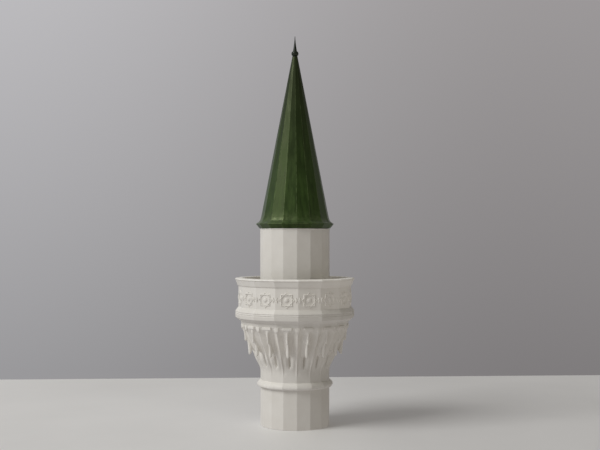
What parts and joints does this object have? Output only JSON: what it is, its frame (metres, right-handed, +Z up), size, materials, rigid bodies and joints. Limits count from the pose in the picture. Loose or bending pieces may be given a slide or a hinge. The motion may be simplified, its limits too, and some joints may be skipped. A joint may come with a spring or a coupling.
{
  "type": "tabletop model of a minaret top",
  "caption": "Tabletop model of a minaret top: faceted shaft, stalactite corbel, balcony with parapet and open gallery, upper shaft, pointed green roof and finial.",
  "frame": {"origin": "centre of the flat underside, on the surface the model stands on", "axes": "+Z up along the axis of the shaft; -Y is the front, and a corner of the sixteen-sided plan points that way"},
  "size_m": [0.1296, 0.1296, 0.42],
  "materials": {
    "cast_white": "matte",
    "roof_green": "satin",
    "finial_dark": "satin"
  },
  "bodies": {
    "root": {"lower_shaft": "cast_white", "shaft_ring": "cast_white", "corbel_collar": "cast_white", "muqarnas_tier_1": "cast_white", "muqarnas_tier_2": "cast_white", "muqarnas_tier_3": "cast_white", "muqarnas_tier_4": "cast_white", "corbel_cap": "cast_white", "cornice": "cast_white", "gallery_floor": "cast_white", "parapet_panel_01": "cast_white", "parapet_panel_02": "cast_white", "parapet_panel_03": "cast_white", "parapet_panel_04": "cast_white", "parapet_panel_05": "cast_white", "parapet_panel_06": "cast_white", "parapet_panel_07": "cast_white", "parapet_panel_08": "cast_white", "parapet_panel_09": "cast_white", "parapet_panel_10": "cast_white", "parapet_panel_11": "cast_white", "parapet_panel_12": "cast_white", "parapet_panel_13": "cast_white", "parapet_panel_14": "cast_white", "parapet_panel_15": "cast_white", "parapet_panel_16": "cast_white", "coping_rim": "cast_white", "upper_shaft": "cast_white", "shaft_lip": "cast_white", "roof_eave": "roof_green", "roof_cone": "roof_green", "finial_neck": "finial_dark", "finial_bead": "finial_dark", "finial_spike": "finial_dark"}
  },
  "joints": []
}
